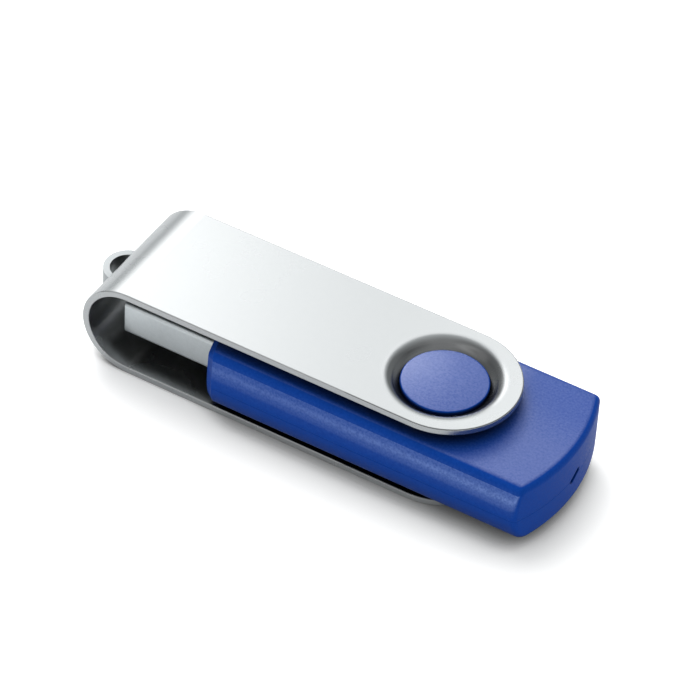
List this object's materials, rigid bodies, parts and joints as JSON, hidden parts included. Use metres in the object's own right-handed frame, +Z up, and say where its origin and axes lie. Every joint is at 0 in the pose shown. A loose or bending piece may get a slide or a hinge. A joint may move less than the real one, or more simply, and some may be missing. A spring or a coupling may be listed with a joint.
{
  "type": "usb flash drive",
  "caption": "Flat pocket flash drive: rounded plastic body with a type A plug, covered by a folded metal clip that swivels a full turn about a central pivot.",
  "frame": {"origin": "centre of the plug's mouth, on the plug's centreline", "axes": "+X from the plug's mouth to the rear end of the body, +Y across the width, +Z up through the flat faces, along the clip's swivel axis"},
  "size_m": [0.0634, 0.0202, 0.0122],
  "materials": {
    "clip_metal": "fine satin, lightly brushed",
    "blue_plastic": "satin with a fine even grain",
    "plug_steel": "satin nickel-plated steel",
    "white_plastic": "moulded white",
    "gold": "gold-plated",
    "board_green": "green solder resist",
    "chip_black": "matt black moulding",
    "tin": "tinned",
    "lamp_white": "clear to white",
    "ceramic_tan": "ceramic"
  },
  "bodies": {
    "drive": {"upper_shell": "blue_plastic", "lower_shell": "blue_plastic", "plug_shield": "plug_steel", "plug_insulator": "white_plastic", "contact_vbus": "gold", "contact_data_minus": "gold", "contact_data_plus": "gold", "contact_ground": "gold", "circuit_board": "board_green", "controller_chip": "chip_black", "memory_chip": "chip_black", "voltage_regulator": "chip_black", "controller_leads": "tin", "memory_leads": "tin", "regulator_leads": "tin", "solder_joints": "tin", "crystal_can": "plug_steel", "indicator_lamp": "lamp_white", "chip_resistors": "chip_black", "chip_capacitors": "ceramic_tan"},
    "clip": {"swivel_clip": "clip_metal"}
  },
  "joints": [
    {"name": "clip_swivel", "type": "hinge", "parent": "drive", "child": "clip", "pos_m": [0.0397, 0, 0], "axis": [0, 0, 1], "continuous": true}
  ]
}
